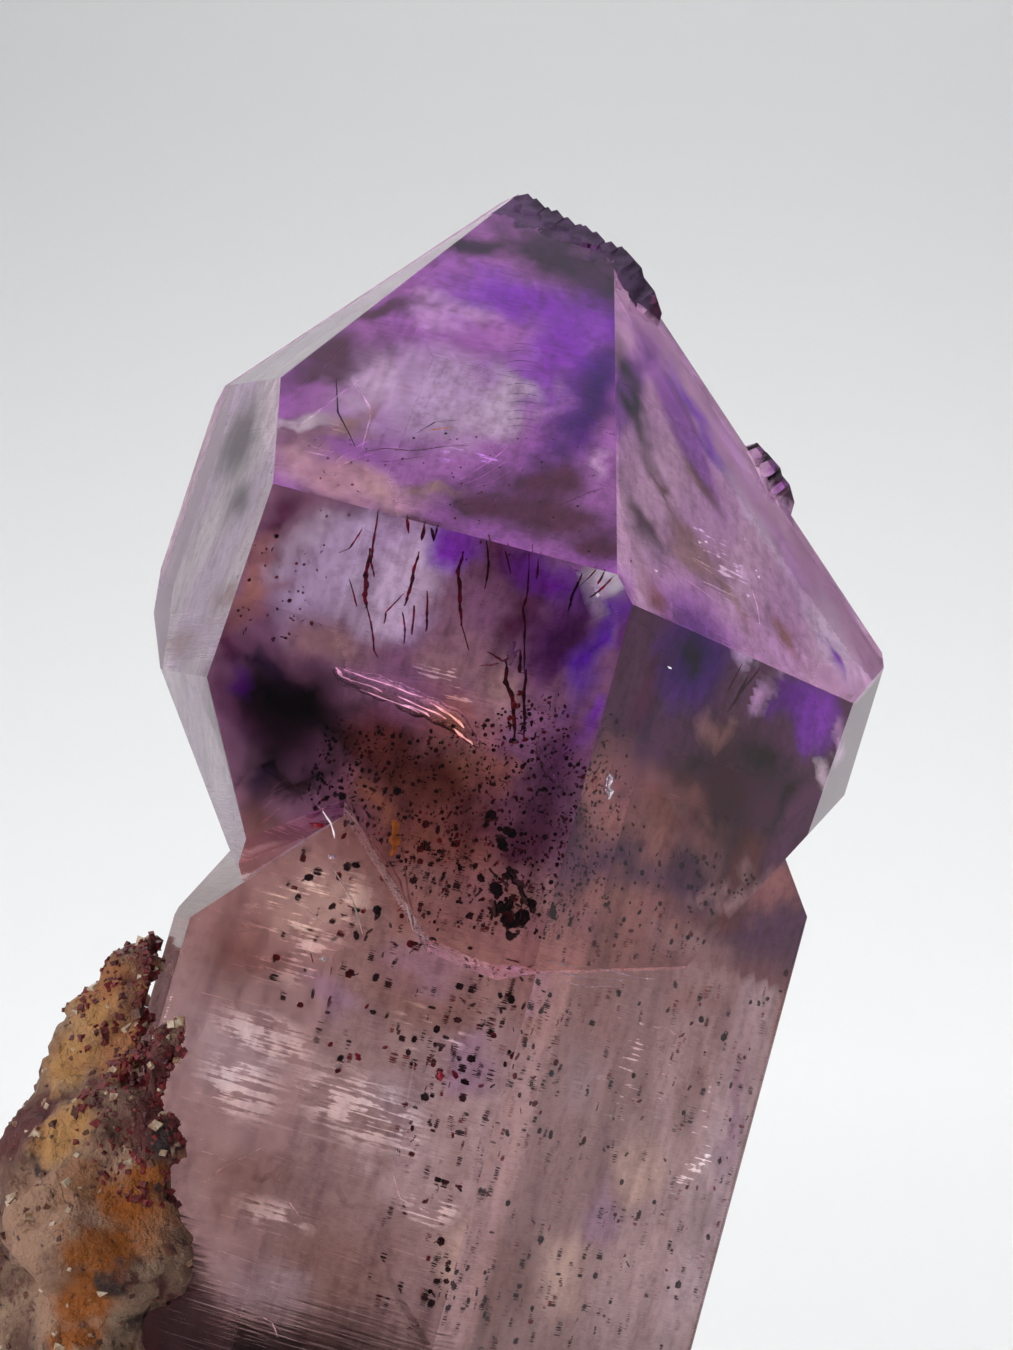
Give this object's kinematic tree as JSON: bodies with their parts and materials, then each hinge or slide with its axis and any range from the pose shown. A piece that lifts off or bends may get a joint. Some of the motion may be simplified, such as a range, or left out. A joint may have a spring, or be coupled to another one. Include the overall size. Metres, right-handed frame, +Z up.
{
  "type": "amethyst scepter crystal",
  "caption": "Leaning amethyst scepter: a wide violet quartz head over a paler prismatic stem, held by a lump of host rock with a flat cut base.",
  "frame": {"origin": "middle of the bottom of the object's box, on the cut base", "axes": "+Z up; +X to the right as the picture sees it; -Y towards the viewer. The crystal's long axis leans to +X and a little to +Y"},
  "size_m": [0.0368, 0.0296, 0.0487],
  "materials": {
    "amethyst": "clear natural quartz faces, violet in the head and pale mauve in the stem",
    "host_rock": "rough weathered rock in brown, ochre and maroon"
  },
  "bodies": {
    "root": {"scepter_crystal": "amethyst", "matrix_rock": "host_rock"}
  },
  "joints": []
}
